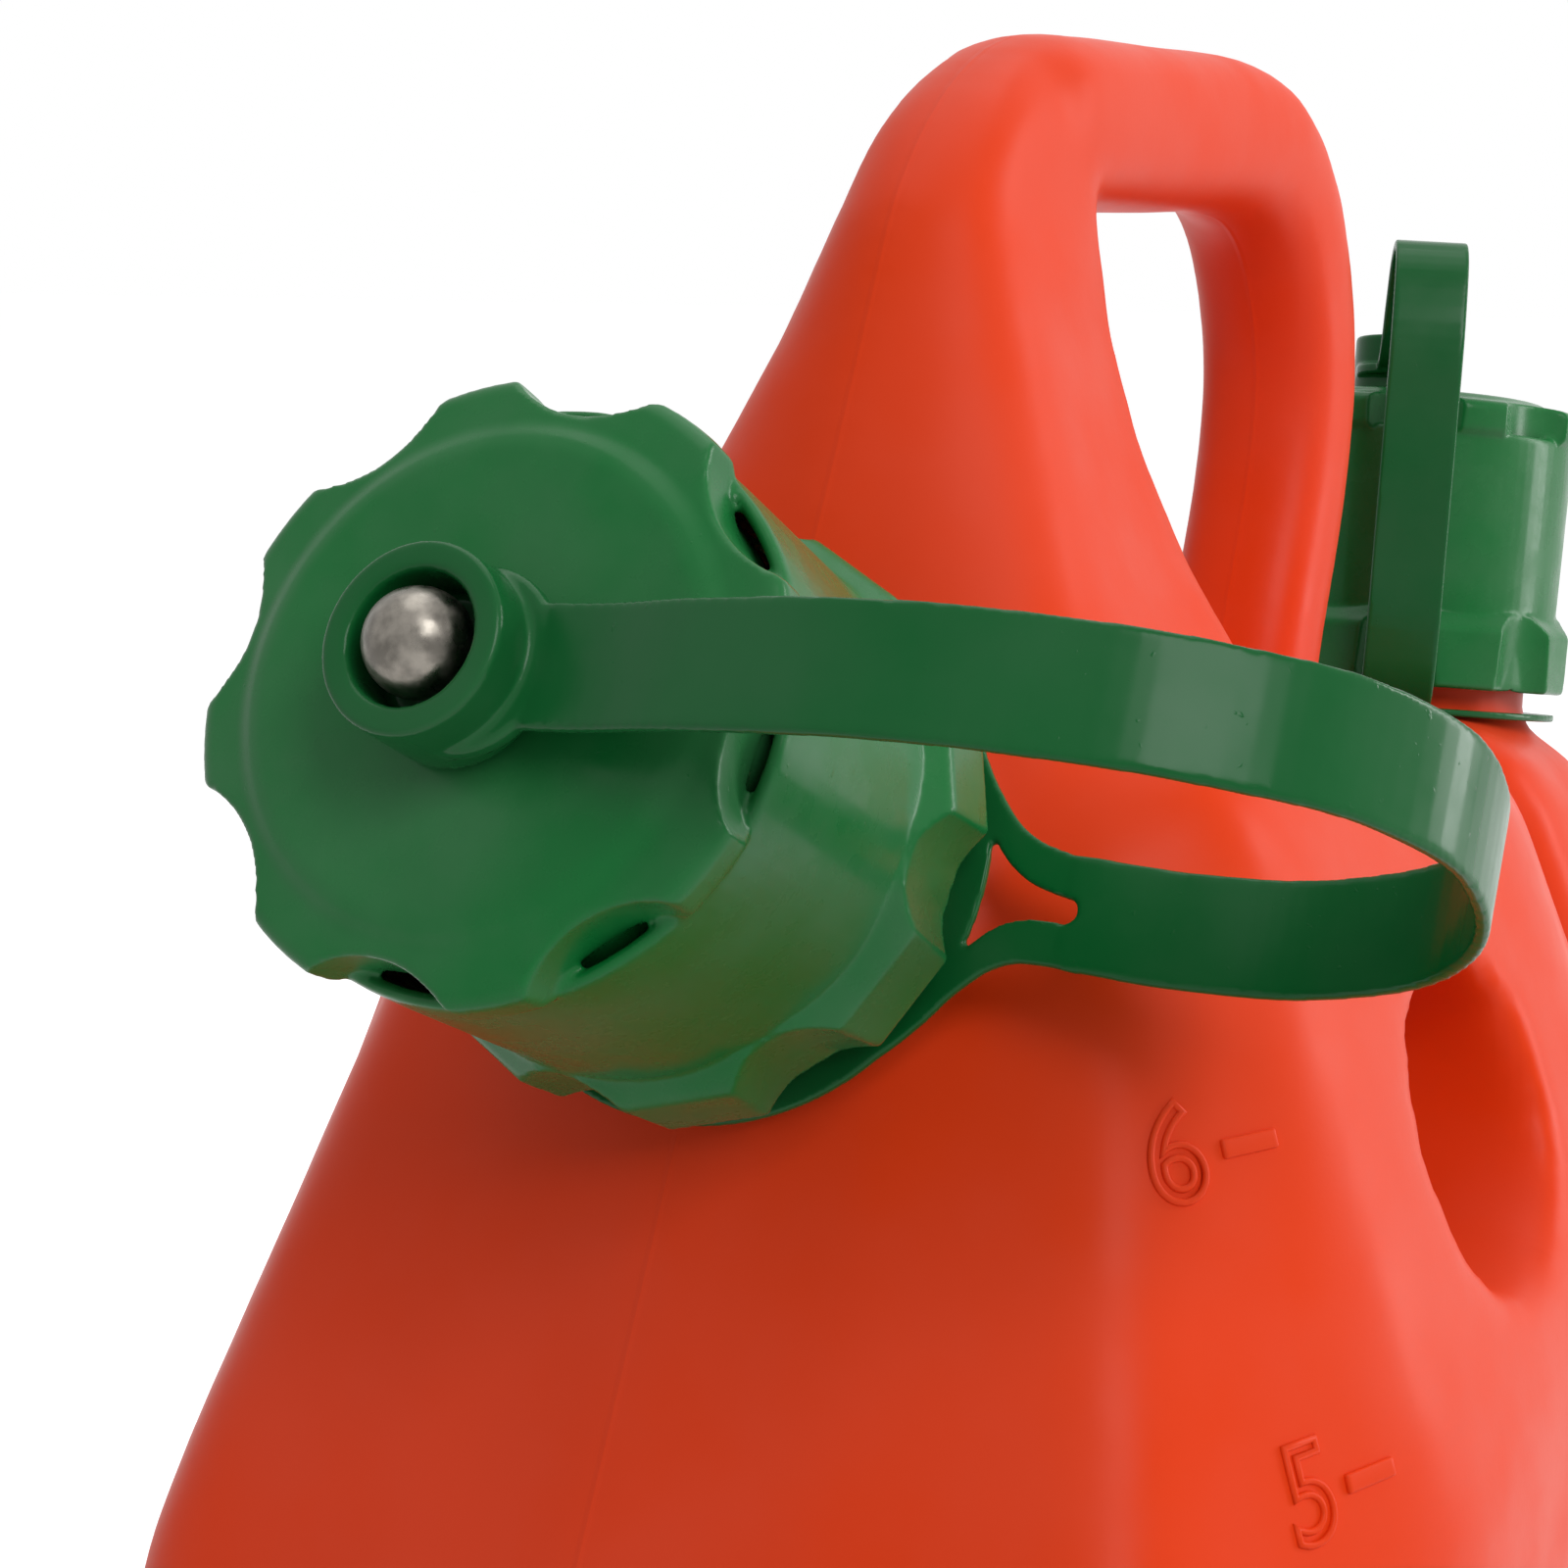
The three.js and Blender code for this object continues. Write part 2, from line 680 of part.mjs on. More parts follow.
const oilBandRoute = [
  new THREE.Vector3(collarRadius - 2, 0, plateMiddle),
  new THREE.Vector3(collarRadius + 3, 0, plateMiddle + 0.3),
  new THREE.Vector3(40, 0, plateMiddle + 3.5),
  new THREE.Vector3(42.8, 0, -47),
  new THREE.Vector3(43.6, 0, -30),
  new THREE.Vector3(44, 0, -8),
  new THREE.Vector3(43, 0, 12),
  new THREE.Vector3(37, 0, 23),
  new THREE.Vector3(28.5, 0, 23),
  new THREE.Vector3(22, 0, 15.5),
  new THREE.Vector3(17, 0, 7.4),
  new THREE.Vector3(tubeRadius, 0, padMiddle),
];

// Materials
const orangePlastic = { color: 0xde4824, roughness: 0.42, metalness: 0 };
const greenPlastic = { color: 0x1c7a40, roughness: 0.35, metalness: 0 };
const blackRubber = { color: 0x1c1c1c, roughness: 0.8, metalness: 0 };
const brightSteel = { color: 0xb8b8b4, roughness: 0.22, metalness: 1 };

const can = new THREE.Group();
can.name = 'dual_fuel_and_oil_can';

function addPart(parent, name, solid, look) {
  const mesh = new THREE.Mesh(toGeometry(solid), new THREE.MeshStandardMaterial(look));
  mesh.name = name;
  parent.add(mesh);
}

function addCap(prefix, frame, lobeStart, route, collar) {
  const group = new THREE.Group();
  group.applyMatrix4(frame);
  addPart(group, `${prefix}_cap`, capBody(lobeStart), greenPlastic);
  addPart(group, `${prefix}_cap_gasket`, gasketRing(), blackRubber);
  addPart(group, `${prefix}_cap_strap`, strap(route, collar), greenPlastic);
  addPart(group, `${prefix}_cap_rivet`, ballRivet(), brightSteel);
  can.add(group);
}

addPart(can, 'tank_body', tankBody(), orangePlastic);
addCap('fuel', fuelFrame, fuelLobeStart, fuelBandRoute, slottedCollar(THREE.MathUtils.degToRad(-4)));
addCap('oil', oilFrame, oilLobeStart, oilBandRoute, roundCollar());

export default can;
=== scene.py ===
"""Dual fuel and oil can: the finished look of the can, built round its frame.

It is laid out as an add-on, with an operator for the body, one for each cap and one
for the stage, and it is run as a script, which calls them all in order.
"""

import json
import math

import bpy
from bpy.props import FloatProperty, FloatVectorProperty, IntProperty, PointerProperty
from mathutils import Matrix, Vector


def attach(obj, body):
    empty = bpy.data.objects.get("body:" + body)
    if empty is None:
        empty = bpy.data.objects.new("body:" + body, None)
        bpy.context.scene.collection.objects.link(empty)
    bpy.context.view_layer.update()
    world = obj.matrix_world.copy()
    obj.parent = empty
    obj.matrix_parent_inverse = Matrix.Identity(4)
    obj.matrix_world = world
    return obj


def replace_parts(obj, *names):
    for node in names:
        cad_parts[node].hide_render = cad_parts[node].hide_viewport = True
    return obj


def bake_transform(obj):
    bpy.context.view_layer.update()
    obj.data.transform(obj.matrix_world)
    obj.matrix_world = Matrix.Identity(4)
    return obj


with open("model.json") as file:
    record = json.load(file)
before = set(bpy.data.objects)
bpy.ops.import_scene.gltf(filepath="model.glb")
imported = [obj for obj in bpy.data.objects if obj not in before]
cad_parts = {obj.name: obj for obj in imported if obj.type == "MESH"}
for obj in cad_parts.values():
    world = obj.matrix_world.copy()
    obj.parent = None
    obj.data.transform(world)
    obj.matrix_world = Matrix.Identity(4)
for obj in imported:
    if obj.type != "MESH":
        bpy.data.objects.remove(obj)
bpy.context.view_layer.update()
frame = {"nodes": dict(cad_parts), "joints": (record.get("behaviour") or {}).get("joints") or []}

bl_info = {
    "name": "Dual fuel and oil can",
    "version": (1, 0, 0),
    "blender": (4, 5, 0),
    "location": "View3D > Sidebar > Can",
    "description": "Builds a two-chamber can with its screw caps, straps and stage",
    "category": "Object",
}

# Lengths below are in millimetres and angles in degrees, and this makes them metres
MM = 0.001

# Each cap and neck has its own frame: X away from the neck towards the strap's band,
# Z out along the neck's axis, from the middle of the closed cap's top
NECK_FOOT = -57.5
NECK_REACH = 29
NECK_SOFTNESS = 0.06
PLUG_RADIUS = 25.5
PLUG_DEPTH = 10
PLUG_MIDDLE = -66

THREAD_RADIUS = 27.2
THREAD_START = -40
THREAD_DEPTH = 1.9
THREAD_THICKNESS = 1.7
THREAD_TURNS = 3
THREAD_RISE = 13.5

LOBES = 8
LOBE_STEP = 360 / LOBES
FUEL_LOBE_START = 106.3
OIL_LOBE_START = 22.5

COLLAR_BOTTOM = -59.6
COLLAR_MIDDLE = -58.95
COLLAR_TOP = -58.3
FOOT_OFFSET = 3
FOOT_CUT_RADIUS = 8
OIL_STRAP_TURN = 20

# The fuel strap's two arms, which leave the collar, run together and join the band
ARM_ROUTE = [
    (20.5, 21.9), (24.5, 18.4), (28.6, 13.6), (32.2, 8.8), (36.5, 5.1), (41, 4.0), (45, 3.9),
]
ARM_LEAN = 0.13
ARM_LEAN_START = 20
ARM_WIDTH = 4.9
ARM_THICKNESS = 1.3
SLOT_RADIUS = 1.5

# Bands from the collar on the neck to the pad on the cap
FUEL_BAND = [
    (42.4, -2.9, COLLAR_MIDDLE), (57, -3.6, -58.6), (74, -3.1, -55.6), (88.6, -0.8, -46),
    (93.2, 2.4, -31), (88.9, 3.0, -12), (78, 1.8, 1), (62, 0.9, 8.5),
    (48, 0.4, 10.8), (30, 0, 9.2), (17, 0, 5.6), (9.6, 0, 4.4),
]
OIL_BAND = [
    (30.5, 0, COLLAR_MIDDLE), (35.5, 0, -58.6), (40, 0, -55.4), (42.8, 0, -47),
    (43.6, 0, -30), (44, 0, -8), (43, 0, 12), (37, 0, 23),
    (28.5, 0, 23), (22, 0, 15.5), (17, 0, 7.4), (9.6, 0, 4.4),
]

BALL_RADIUS = 5.5
BALL_MIDDLE = 8.91
BALL_STEPS = 24
SHANK_RADIUS = 2.4

# Level figures with their heights above the ground, and where they and the dashes stand
LEVELS = {"6": 159, "5": 123, "4": 91, "3": 62, "2": 34}
FIGURE_PLACE = -128.6
FIGURE_LINE_RADIUS = 0.42
FIGURE_FONT_SCALE = 1.3
DASH_PLACE = -119.8
DASH_HALF = 4
DASH_WIDTH = 2.2
DASH_THICKNESS = 0.9
MARK_LIFT = 0.05

CAMERA_PLACE = (-419.53, -160.46, 260.25)
CAMERA_HEADING = 28
CAMERA_DOWN = 11
CAMERA_LENS = 67.5
LIGHT_TARGET = (-50, 0, 150)


class CanSettings(bpy.types.PropertyGroup):
    """Sizes, resolution and colours of the finished can"""

    body_grain: FloatProperty(
        name="Body mesh size", description="Size of the faces of the body's skin",
        default=1.9 * MM, subtype="DISTANCE", unit="LENGTH",
    )
    body_softness: IntProperty(
        name="Body smoothing", description="Rounds of smoothing over the body's edges", default=22,
    )
    cap_grain: FloatProperty(
        name="Cap mesh size", description="Size of the faces of the screw caps",
        default=0.42 * MM, subtype="DISTANCE", unit="LENGTH",
    )
    strap_grain: FloatProperty(
        name="Strap mesh size", description="Size of the faces of the straps",
        default=0.36 * MM, subtype="DISTANCE", unit="LENGTH",
    )
    band_width: FloatProperty(
        name="Band width", description="Width of each strap's band",
        default=12.8 * MM, subtype="DISTANCE", unit="LENGTH",
    )
    band_thickness: FloatProperty(
        name="Band thickness", description="Thickness of each strap's band",
        default=1.5 * MM, subtype="DISTANCE", unit="LENGTH",
    )
    figure_height: FloatProperty(
        name="Level figure height", description="Height of the raised level figures",
        default=12 * MM, subtype="DISTANCE", unit="LENGTH",
    )
    body_colour: FloatVectorProperty(
        name="Body", description="Colour of the blown body",
        subtype="COLOR", default=(0.74, 0.044, 0.004), min=0, max=1,
    )
    cap_colour: FloatVectorProperty(
        name="Caps", description="Colour of the screw caps",
        subtype="COLOR", default=(0.004, 0.14, 0.028), min=0, max=1,
    )
    strap_colour: FloatVectorProperty(
        name="Straps", description="Colour of the straps",
        subtype="COLOR", default=(0.002, 0.098, 0.02), min=0, max=1,
    )
    steel_colour: FloatVectorProperty(
        name="Rivets", description="Colour of the steel rivets",
        subtype="COLOR", default=(0.25, 0.23, 0.2), min=0, max=1,
    )


def settings():
    return bpy.context.scene.fuel_can


def need(condition, message):
    if not condition:
        raise RuntimeError(message)


# Selecting, joining and applying

def only(*objects):
    if bpy.context.object and bpy.context.object.mode != "OBJECT":
        bpy.ops.object.mode_set(mode="OBJECT")
    bpy.ops.object.select_all(action="DESELECT")
    for obj in objects:
        obj.select_set(True)
    bpy.context.view_layer.objects.active = objects[0]


def joined(name, *objects):
    only(*objects)
    bpy.ops.object.join()
    piece = bpy.context.object
    piece.name = piece.data.name = name
    return piece


def modified(piece, kind, **values):
    only(piece)
    modifier = piece.modifiers.new(kind.title(), kind)
    for key, value in values.items():
        setattr(modifier, key, value)
    bpy.ops.object.modifier_apply(modifier=modifier.name)
    return piece


def moulded(piece, grain, softness, keep=1.0):
    """One closed skin over everything in the piece, with softened edges."""
    modified(piece, "REMESH", mode="VOXEL", voxel_size=grain, adaptivity=0.0)
    modified(piece, "SMOOTH", factor=0.5, iterations=softness)
    if keep < 1.0:
        modified(piece, "DECIMATE", ratio=keep)
    only(piece)
    bpy.ops.object.shade_smooth()
    return piece


def placed(piece, matrix):
    only(piece)
    piece.matrix_world = matrix
    bpy.ops.object.transform_apply(location=True, rotation=True, scale=True)
    return piece


def finished(piece, material):
    piece.data.materials.clear()
    piece.data.materials.append(material)
    return piece


# Shapes

def turned(name, profile, steps=96):
    """A profile of (radius, height) pairs in millimetres, drawn by extruding and then spun."""
    points = [Vector((r * MM, 0, z * MM)) for r, z in profile]
    bpy.ops.mesh.primitive_plane_add(size=MM)
    piece = bpy.context.object
    piece.name = piece.data.name = name
    bpy.ops.object.mode_set(mode="EDIT")
    bpy.ops.mesh.select_all(action="SELECT")
    bpy.ops.mesh.merge(type="CENTER")
    bpy.ops.transform.translate(value=points[0])
    for here, there in zip(points, points[1:]):
        bpy.ops.mesh.extrude_vertices_move(TRANSFORM_OT_translate={"value": there - here})
    bpy.ops.mesh.select_all(action="SELECT")
    bpy.ops.mesh.spin(steps=steps, angle=2 * math.pi, center=(0, 0, 0), axis=(0, 0, 1))
    bpy.ops.mesh.select_all(action="SELECT")
    bpy.ops.mesh.remove_doubles(threshold=0.01 * MM)
    bpy.ops.mesh.normals_make_consistent(inside=False)
    bpy.ops.object.mode_set(mode="OBJECT")
    return piece


def ribbon(name, points, width, thickness, detail=8):
    """A flat band along a smooth route of points in millimetres, wide along Y."""
    bpy.ops.curve.primitive_bezier_curve_add()
    curve = bpy.context.object
    spline = curve.data.splines[0]
    spline.bezier_points.add(len(points) - 2)
    for knot, point in zip(spline.bezier_points, points):
        knot.co = Vector(point) * MM
        knot.handle_left_type = knot.handle_right_type = "AUTO"
    spline.resolution_u = detail
    only(curve)
    bpy.ops.object.convert(target="MESH")
    piece = bpy.context.object
    piece.name = piece.data.name = name
    bpy.ops.object.mode_set(mode="EDIT")
    bpy.ops.mesh.select_all(action="SELECT")
    bpy.ops.transform.translate(value=(0, -width / 2, 0))
    bpy.ops.mesh.extrude_edges_move(TRANSFORM_OT_translate={"value": (0, width, 0)})
    bpy.ops.object.mode_set(mode="OBJECT")
    return modified(piece, "SOLIDIFY", thickness=thickness, offset=0.0)


def carved(piece, *cutters):
    """Cuts the cutters out of the piece and removes them."""
    tool = joined("cutter", *cutters) if len(cutters) > 1 else cutters[0]
    modified(piece, "BOOLEAN", operation="DIFFERENCE", solver="EXACT", object=tool)
    bpy.data.objects.remove(tool)
    return piece


def scallop_cutters(lobe_start, place, radius, low, high, lean=0.0):
    """Upright round cutters between the lobes, leaning outwards at their tops."""
    cutters = []
    middle = (high + low) / 2 * MM
    for index in range(LOBES):
        angle = math.radians(lobe_start + (index + 0.5) * 360 / LOBES)
        bpy.ops.mesh.primitive_cylinder_add(
            vertices=72,
            radius=radius * MM,
            depth=(high - low) * MM,
            location=(place * math.cos(angle) * MM, place * math.sin(angle) * MM, middle),
            rotation=(0, math.radians(lean), angle),
        )
        cutters.append(bpy.context.object)
        bpy.ops.object.transform_apply(location=True, rotation=True, scale=True)
    return cutters


# Materials

class Nodes:
    """Short names for adding and joining the shader nodes of one material."""

    def __init__(self, name, colour, roughness):
        self.material = bpy.data.materials.new(name)
        self.material.use_nodes = True
        self.tree = self.material.node_tree
        self.shader = self.tree.nodes["Principled BSDF"]
        self.shader.inputs["Base Color"].default_value = (*colour, 1)
        self.shader.inputs["Roughness"].default_value = roughness
        self.place = self.add("ShaderNodeTexCoord").outputs["Object"]

    def add(self, kind, **values):
        node = self.tree.nodes.new(kind)
        for key, value in values.items():
            setattr(node, key, value)
        return node

    def link(self, start, end):
        self.tree.links.new(start, end)

    def noise(self, scale, detail=2.0, roughness=0.5):
        node = self.add("ShaderNodeTexNoise")
        node.inputs["Scale"].default_value = scale
        node.inputs["Detail"].default_value = detail
        node.inputs["Roughness"].default_value = roughness
        self.link(self.place, node.inputs["Vector"])
        return node.outputs["Fac"]

    def spread(self, value, low, high, start=0.35, end=0.65):
        """Spreads a value that runs from start to end over low to high."""
        node = self.add("ShaderNodeMapRange")
        node.inputs["From Min"].default_value = start
        node.inputs["From Max"].default_value = end
        node.inputs["To Min"].default_value = low
        node.inputs["To Max"].default_value = high
        self.link(value, node.inputs["Value"])
        return node.outputs["Result"]

    def axis(self, name):
        node = self.add("ShaderNodeSeparateXYZ")
        self.link(self.place, node.inputs["Vector"])
        return node.outputs[name]

    def ridge(self, value, middle, half):
        """1 on a thin line where the value is at the middle, falling to 0 beside it."""
        shift = self.add("ShaderNodeMath", operation="SUBTRACT")
        self.link(value, shift.inputs[0])
        shift.inputs[1].default_value = middle
        size = self.add("ShaderNodeMath", operation="ABSOLUTE")
        self.link(shift.outputs["Value"], size.inputs[0])
        return self.spread(size.outputs["Value"], 1.0, 0.0, 0.0, half)

    def tint(self, colour, other, share):
        """Mixes the other colour into the base colour by the share."""
        node = self.add("ShaderNodeMix", data_type="RGBA")
        node.inputs[6].default_value = (*colour, 1)
        node.inputs[7].default_value = (*other, 1)
        self.link(share, node.inputs["Factor"])
        self.link(node.outputs[2], self.shader.inputs["Base Color"])

    def bump(self, height, distance, strength, under=None):
        """Adds a relief to the surface, over the one under it."""
        node = self.add("ShaderNodeBump")
        node.inputs["Strength"].default_value = strength
        node.inputs["Distance"].default_value = distance
        self.link(height, node.inputs["Height"])
        if under is not None:
            self.link(under, node.inputs["Normal"])
        self.link(node.outputs["Normal"], self.shader.inputs["Normal"])
        return node.outputs["Normal"]


def body_plastic(colour):
    """Blown plastic: satin, faintly uneven, with the mould's parting line round the middle."""
    nodes = Nodes("blown_plastic", colour, roughness=0.4)
    clouds = nodes.noise(scale=22, detail=4)
    nodes.tint(colour, paler(colour, 0.014), nodes.spread(clouds, 0.0, 1.0))
    sheen = nodes.spread(nodes.noise(scale=60, detail=5), 0.36, 0.46)
    nodes.link(sheen, nodes.shader.inputs["Roughness"])
    waves = nodes.bump(nodes.noise(scale=30), distance=0.5 * MM, strength=0.35)
    grain = nodes.bump(nodes.noise(scale=1500), distance=0.02 * MM, strength=0.5, under=waves)
    seam = nodes.ridge(nodes.axis("Y"), middle=0.0, half=0.6 * MM)
    nodes.bump(seam, distance=0.12 * MM, strength=0.6, under=grain)
    nodes.shader.inputs["Specular IOR Level"].default_value = 0.11
    return nodes.material


def cap_plastic(colour):
    """The caps' plastic, glossier than the body."""
    return moulded_plastic(
        "cap_plastic", colour, paleness=0.022, roughness=(0.2, 0.34), shine=0.17
    )


def strap_plastic(colour):
    """The straps' bendable plastic, darker and glossier than the caps."""
    return moulded_plastic(
        "strap_plastic", colour, paleness=0.01, roughness=(0.16, 0.26), shine=0.15
    )


def moulded_plastic(name, colour, paleness, roughness, shine):
    """Moulded plastic with flow marks, fine scuffs and specks."""
    nodes = Nodes(name, colour, roughness[0])
    flow = nodes.noise(scale=45, detail=4)
    nodes.tint(colour, paler(colour, paleness), nodes.spread(flow, 0.0, 1.0))
    scuffs = nodes.spread(nodes.noise(scale=130, detail=6, roughness=0.6), *roughness)
    nodes.link(scuffs, nodes.shader.inputs["Roughness"])
    waves = nodes.bump(nodes.noise(scale=60), distance=0.3 * MM, strength=0.3)
    specks = nodes.spread(nodes.noise(scale=900), 0.0, 1.0, start=0.7, end=0.78)
    nodes.bump(specks, distance=0.04 * MM, strength=0.5, under=waves)
    nodes.shader.inputs["Specular IOR Level"].default_value = shine
    return nodes.material


def dull_steel(colour):
    """Tumbled steel: metallic with soft mottling and small dents."""
    nodes = Nodes("dull_steel", colour, roughness=0.32)
    nodes.shader.inputs["Metallic"].default_value = 1.0
    dark = [value * 0.5 for value in colour]
    mottling = nodes.spread(nodes.noise(scale=330, detail=4), 0.0, 1.0, start=0.38, end=0.62)
    nodes.tint(dark, colour, mottling)
    sheen = nodes.spread(nodes.noise(scale=500, detail=4), 0.24, 0.44)
    nodes.link(sheen, nodes.shader.inputs["Roughness"])
    nodes.bump(nodes.noise(scale=420, detail=3), distance=0.16 * MM, strength=0.4)
    return nodes.material


def soft_rubber():
    """Matt black rubber with a fine grain."""
    nodes = Nodes("soft_rubber", (0.012, 0.012, 0.012), roughness=0.75)
    nodes.bump(nodes.noise(scale=2500), distance=0.03 * MM, strength=0.5)
    return nodes.material


def paler(colour, share):
    return [value + (1 - value) * share for value in colour]


def shared(name, maker, *values):
    """The material of that name, made once for all the pieces that share it."""
    return bpy.data.materials.get(name) or maker(*values)


# The necks' own frames, taken from the turn joints

def neck_frame(joint_name, away):
    """The frame of one neck, with its X axis turned towards the given direction."""
    joint = next(item for item in frame["joints"] if item["name"] == joint_name)
    z_axis = Vector(joint["axis"]).normalized()
    x_axis = (away - z_axis * away.dot(z_axis)).normalized()
    y_axis = z_axis.cross(x_axis)
    matrix = Matrix((x_axis, y_axis, z_axis)).transposed().to_4x4()
    matrix.translation = Vector(joint["pos_m"])
    return matrix


def fuel_frame():
    return neck_frame("fuel_turn", Vector((0, -1, 0)))


def oil_frame():
    turn = math.radians(OIL_STRAP_TURN)
    return neck_frame("oil_turn", Vector((-math.cos(turn), -math.sin(turn), 0)))


# Pieces

def can_skin():
    """The blown body: the frame's solid, plugged below each neck, as one soft outer skin."""
    look = settings()
    source = frame["nodes"]["tank_body"]
    piece = source.copy()
    piece.data = source.data.copy()
    piece.parent = None
    piece.name = piece.data.name = "can_skin"
    for key in list(piece.keys()):
        del piece[key]
    bpy.context.scene.collection.objects.link(piece)
    only(piece)
    bpy.ops.object.mode_set(mode="EDIT")
    bpy.ops.mesh.select_all(action="SELECT")
    bpy.ops.mesh.remove_doubles(threshold=0.02 * MM)
    bpy.ops.mesh.normals_make_consistent(inside=False)
    bpy.ops.object.mode_set(mode="OBJECT")
    plugs = []
    for matrix in (fuel_frame(), oil_frame()):
        bpy.ops.mesh.primitive_cylinder_add(
            vertices=64, radius=PLUG_RADIUS * MM, depth=PLUG_DEPTH * MM
        )
        plug = bpy.context.object
        plugs.append(placed(plug, matrix @ Matrix.Translation((0, 0, PLUG_MIDDLE * MM))))
    piece = joined("can_skin", piece, *plugs)
    modified(piece, "REMESH", mode="VOXEL", voxel_size=look.body_grain, adaptivity=0.0)
    group = piece.vertex_groups.new(name="soft")
    necks = [matrix.inverted() for matrix in (fuel_frame(), oil_frame())]
    for vertex in piece.data.vertices:
        weight = 1.0
        for neck in necks:
            local = neck @ vertex.co
            if math.hypot(local.x, local.y) < NECK_REACH * MM and local.z > NECK_FOOT * MM:
                weight = NECK_SOFTNESS
        group.add([vertex.index], weight, "REPLACE")
    modified(piece, "SMOOTH", factor=0.5, iterations=look.body_softness, vertex_group="soft")
    modified(piece, "DECIMATE", ratio=0.75)
    only(piece)
    bpy.ops.object.shade_smooth()
    return piece


def level_marks():
    """Raised outline figures with a dash beside each, up a front corner of the body."""
    skin = bpy.data.objects["can_skin"]
    dash_route = [(-DASH_HALF, 0, 0), (0, 0, 0), (DASH_HALF, 0, 0)]
    marks = []
    for figure, height in LEVELS.items():
        bpy.ops.object.text_add()
        text = bpy.context.object
        text.data.body = figure
        text.data.size = settings().figure_height * FIGURE_FONT_SCALE
        text.data.align_x = "CENTER"
        text.data.align_y = "CENTER"
        text.data.fill_mode = "NONE"
        text.data.bevel_depth = FIGURE_LINE_RADIUS * MM
        text.data.bevel_resolution = 2
        only(text)
        bpy.ops.object.convert(target="MESH")
        marks.append(set_on_skin(bpy.context.object, skin, FIGURE_PLACE, height))
        dash = ribbon("dash", dash_route, DASH_WIDTH * MM, DASH_THICKNESS * MM, detail=6)
        modified(dash, "BEVEL", width=0.35 * MM, segments=3)
        marks.append(set_on_skin(dash, skin, DASH_PLACE, height))
    piece = joined("level_marks", *marks)
    only(piece)
    bpy.ops.object.shade_smooth()
    return piece


def set_on_skin(mark, skin, x, z):
    """Stands a mark that was made flat on the ground upright on the skin's near side."""
    start = Vector((x * MM, -0.3, z * MM))
    hit, place, normal, _ = skin.ray_cast(start, Vector((0, 1, 0)))
    need(hit, "a level mark misses the body")
    up = (Vector((0, 0, 1)) - normal * normal.z).normalized()
    right = up.cross(normal)
    matrix = Matrix((right, up, normal)).transposed().to_4x4()
    matrix.translation = place + normal * MARK_LIFT * MM
    return placed(mark, matrix)


def cap_shell(name, lobe_start, matrix):
    """Screw cap: scalloped top, barrel, faceted grip ring, measuring cup and inner skirt."""
    top = turned("top", [
        (0, -0.5), (24.6, -0.5), (25.8, -0.8), (27.4, -1.6), (29.5, -1.9), (31.8, -2.2),
        (32.8, -2.8), (33.1, -3.8), (32.9, -7.4), (32.2, -8.4), (0, -8.4),
    ])
    carved(top, *scallop_cutters(lobe_start, place=42.3, radius=13.5, low=-12, high=3))
    barrel = turned("barrel", [
        (30.9, -7.6), (31.6, -8.0), (31.8, -8.9), (31.8, -14), (31.3, -41), (31.2, -54),
        (29.2, -54), (29.2, -42), (30.0, -14), (30.2, -8.4), (30.9, -7.6),
    ])
    grip = turned("grip", [
        (31, -54.5), (35.8, -54.5), (36.3, -53.9), (36.3, -43.9), (35.6, -42.9),
        (33.0, -40.4), (31, -40.8), (31, -54.5),
    ], steps=LOBES)
    placed(grip, Matrix.Rotation(math.radians(lobe_start + LOBE_STEP / 2), 4, "Z"))
    carved(grip, *scallop_cutters(
        lobe_start, place=43.4, radius=12.2, low=-60, high=-36, lean=4
    ))
    cup = turned("cup", [
        (17, -5), (20.6, -5), (20.6, -47.4), (20.2, -48), (19.4, -48),
        (19, -47.4), (19, -8), (17, -7), (17, -5),
    ])
    skirt = turned("skirt", [
        (27.7, -7.8), (28.7, -7.8), (28.7, -13.5), (27.7, -13.5), (27.7, -7.8),
    ])
    piece = joined(name, top, barrel, grip, cup, skirt)
    moulded(piece, settings().cap_grain, softness=4, keep=0.36)
    return placed(piece, matrix)


def neck_thread(name, matrix):
    """One raised right-handed thread that winds up the neck."""
    bpy.ops.mesh.primitive_plane_add(size=MM)
    piece = bpy.context.object
    piece.name = piece.data.name = name
    bpy.ops.object.mode_set(mode="EDIT")
    bpy.ops.mesh.select_all(action="SELECT")
    bpy.ops.mesh.delete(type="ONLY_FACE")
    bpy.ops.mesh.select_all(action="SELECT")
    bpy.ops.transform.rotate(value=math.pi / 2, orient_axis="X", center_override=(0, 0, 0))
    bpy.ops.transform.resize(value=(THREAD_DEPTH, 1, THREAD_THICKNESS), center_override=(0, 0, 0))
    bpy.ops.transform.translate(value=(THREAD_RADIUS * MM, 0, THREAD_START * MM))
    bpy.ops.object.mode_set(mode="OBJECT")
    modified(
        piece, "SCREW", angle=2 * THREAD_TURNS * math.pi, screw_offset=THREAD_RISE * MM,
        steps=72 * THREAD_TURNS, render_steps=72 * THREAD_TURNS,
    )
    modified(piece, "BEVEL", width=0.35 * MM, segments=2, angle_limit=math.radians(50))
    only(piece)
    bpy.ops.object.shade_smooth_by_angle(angle=math.radians(40))
    return placed(piece, matrix)


